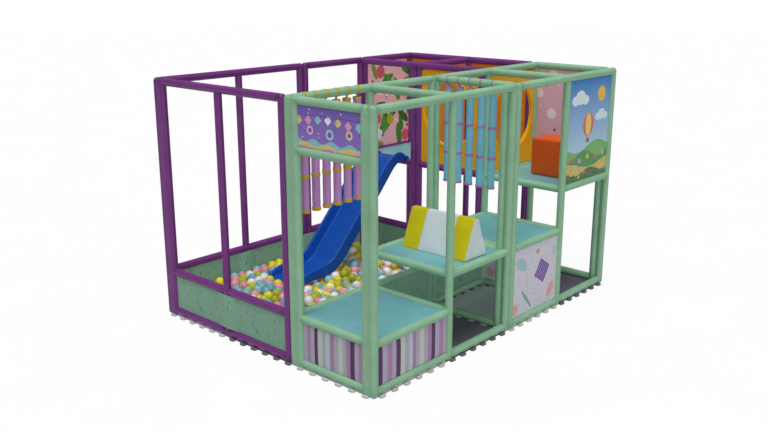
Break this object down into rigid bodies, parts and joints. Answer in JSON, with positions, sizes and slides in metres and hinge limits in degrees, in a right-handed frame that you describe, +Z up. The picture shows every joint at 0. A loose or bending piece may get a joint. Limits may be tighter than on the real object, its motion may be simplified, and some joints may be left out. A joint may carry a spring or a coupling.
{
  "type": "ball pit",
  "caption": "Soft play frame of padded tubes with a walled ball pit, slide, stepped decks, crawl-through panels and hanging bags",
  "frame": {"origin": "on the floor under the middle of the floor mat", "axes": "+Z up; +Y along the frame from the entrance end to the rear end; +X towards the open side with the play decks"},
  "size_m": [3.12, 4.12, 2.5842],
  "materials": {
    "green_sleeve": "matte",
    "purple_sleeve": "matte",
    "foam_mat": "matte",
    "pit_vinyl": "satin",
    "striped_vinyl": "satin",
    "dotted_vinyl": "satin",
    "sign_vinyl": "satin",
    "sky_vinyl": "satin",
    "pink_vinyl": "satin",
    "leaf_vinyl": "satin",
    "orange_vinyl": "satin",
    "mustard_board": "satin",
    "rim_plastic": "satin",
    "teal_vinyl": "satin",
    "blue_plastic": "gloss",
    "ball_plastic": "satin",
    "ridge_vinyl": "satin",
    "cube_vinyl": "satin",
    "pink_bag_vinyl": "satin",
    "blue_bag_vinyl": "satin"
  },
  "bodies": {
    "frame": {"green_front_frame": "green_sleeve", "green_right_frame_near": "green_sleeve", "green_inner_frame_near": "green_sleeve", "green_middle_frame": "green_sleeve", "green_right_frame_far": "green_sleeve", "green_inner_frame_far": "green_sleeve", "green_rear_frame": "green_sleeve", "purple_front_frame": "purple_sleeve", "purple_left_frame_near": "purple_sleeve", "purple_left_frame_mid": "purple_sleeve", "purple_left_frame_far": "purple_sleeve", "purple_cross_frame": "purple_sleeve", "purple_rear_frame": "purple_sleeve", "floor_mat": "foam_mat", "pit_wall_front_left": "pit_vinyl", "pit_wall_front_right": "pit_vinyl", "pit_wall_left_near": "pit_vinyl", "pit_wall_left_mid": "pit_vinyl", "pit_wall_left_far": "pit_vinyl", "pit_wall_rear_left": "pit_vinyl", "pit_wall_rear_right": "pit_vinyl", "pit_wall_side_near": "pit_vinyl", "pit_wall_side_mid": "pit_vinyl", "pit_wall_side_far": "pit_vinyl", "striped_panel_front": "striped_vinyl", "striped_panel_right": "striped_vinyl", "dotted_panel_right": "dotted_vinyl", "dotted_panel_rear": "dotted_vinyl", "sign_panel": "sign_vinyl", "sky_panel": "sky_vinyl", "pink_panel": "pink_vinyl", "leaf_panel": "leaf_vinyl", "orange_panel_left": "orange_vinyl", "orange_panel_right": "orange_vinyl", "crawl_panel_front": "mustard_board", "crawl_panel_side": "mustard_board", "crawl_rim_front": "rim_plastic", "crawl_rim_side": "rim_plastic", "first_deck": "teal_vinyl", "second_deck": "teal_vinyl", "third_deck": "teal_vinyl", "high_deck": "teal_vinyl", "slide_deck_left": "teal_vinyl", "slide_deck_right": "teal_vinyl", "slide": "blue_plastic", "ball_bed": "ball_plastic", "foam_ridge": "ridge_vinyl", "foam_cube": "cube_vinyl"},
    "pink_bag_1": {"pink_bag_1": "pink_bag_vinyl"},
    "pink_bag_2": {"pink_bag_2": "pink_bag_vinyl"},
    "pink_bag_3": {"pink_bag_3": "pink_bag_vinyl"},
    "pink_bag_4": {"pink_bag_4": "pink_bag_vinyl"},
    "pink_bag_5": {"pink_bag_5": "pink_bag_vinyl"},
    "pink_bag_6": {"pink_bag_6": "pink_bag_vinyl"},
    "blue_bag_1": {"blue_bag_1": "blue_bag_vinyl"},
    "blue_bag_2": {"blue_bag_2": "blue_bag_vinyl"},
    "blue_bag_3": {"blue_bag_3": "blue_bag_vinyl"},
    "blue_bag_4": {"blue_bag_4": "blue_bag_vinyl"},
    "blue_bag_5": {"blue_bag_5": "blue_bag_vinyl"}
  },
  "joints": [
    {"name": "pink_bag_1_swing", "type": "hinge", "parent": "frame", "child": "pink_bag_1", "pos_m": [0.49, -1.827, 2.54], "axis": [0, 1, 0], "range_deg": [-30, 30]},
    {"name": "pink_bag_2_swing", "type": "hinge", "parent": "frame", "child": "pink_bag_2", "pos_m": [0.49, -1.6874, 2.54], "axis": [0, 1, 0], "range_deg": [-30, 30]},
    {"name": "pink_bag_3_swing", "type": "hinge", "parent": "frame", "child": "pink_bag_3", "pos_m": [0.49, -1.5478, 2.54], "axis": [0, 1, 0], "range_deg": [-30, 30]},
    {"name": "pink_bag_4_swing", "type": "hinge", "parent": "frame", "child": "pink_bag_4", "pos_m": [0.49, -1.4082, 2.54], "axis": [0, 1, 0], "range_deg": [-30, 30]},
    {"name": "pink_bag_5_swing", "type": "hinge", "parent": "frame", "child": "pink_bag_5", "pos_m": [0.49, -1.2686, 2.54], "axis": [0, 1, 0], "range_deg": [-30, 30]},
    {"name": "pink_bag_6_swing", "type": "hinge", "parent": "frame", "child": "pink_bag_6", "pos_m": [0.49, -1.129, 2.54], "axis": [0, 1, 0], "range_deg": [-30, 30]},
    {"name": "blue_bag_1_swing", "type": "hinge", "parent": "frame", "child": "blue_bag_1", "pos_m": [0.65, 0.085, 2.54], "axis": [1, 0, 0], "range_deg": [-30, 30]},
    {"name": "blue_bag_2_swing", "type": "hinge", "parent": "frame", "child": "blue_bag_2", "pos_m": [0.7905, 0.085, 2.54], "axis": [1, 0, 0], "range_deg": [-30, 30]},
    {"name": "blue_bag_3_swing", "type": "hinge", "parent": "frame", "child": "blue_bag_3", "pos_m": [0.931, 0.085, 2.54], "axis": [1, 0, 0], "range_deg": [-30, 30]},
    {"name": "blue_bag_4_swing", "type": "hinge", "parent": "frame", "child": "blue_bag_4", "pos_m": [1.0715, 0.085, 2.54], "axis": [1, 0, 0], "range_deg": [-30, 30]},
    {"name": "blue_bag_5_swing", "type": "hinge", "parent": "frame", "child": "blue_bag_5", "pos_m": [1.212, 0.085, 2.54], "axis": [1, 0, 0], "range_deg": [-30, 30]}
  ]
}
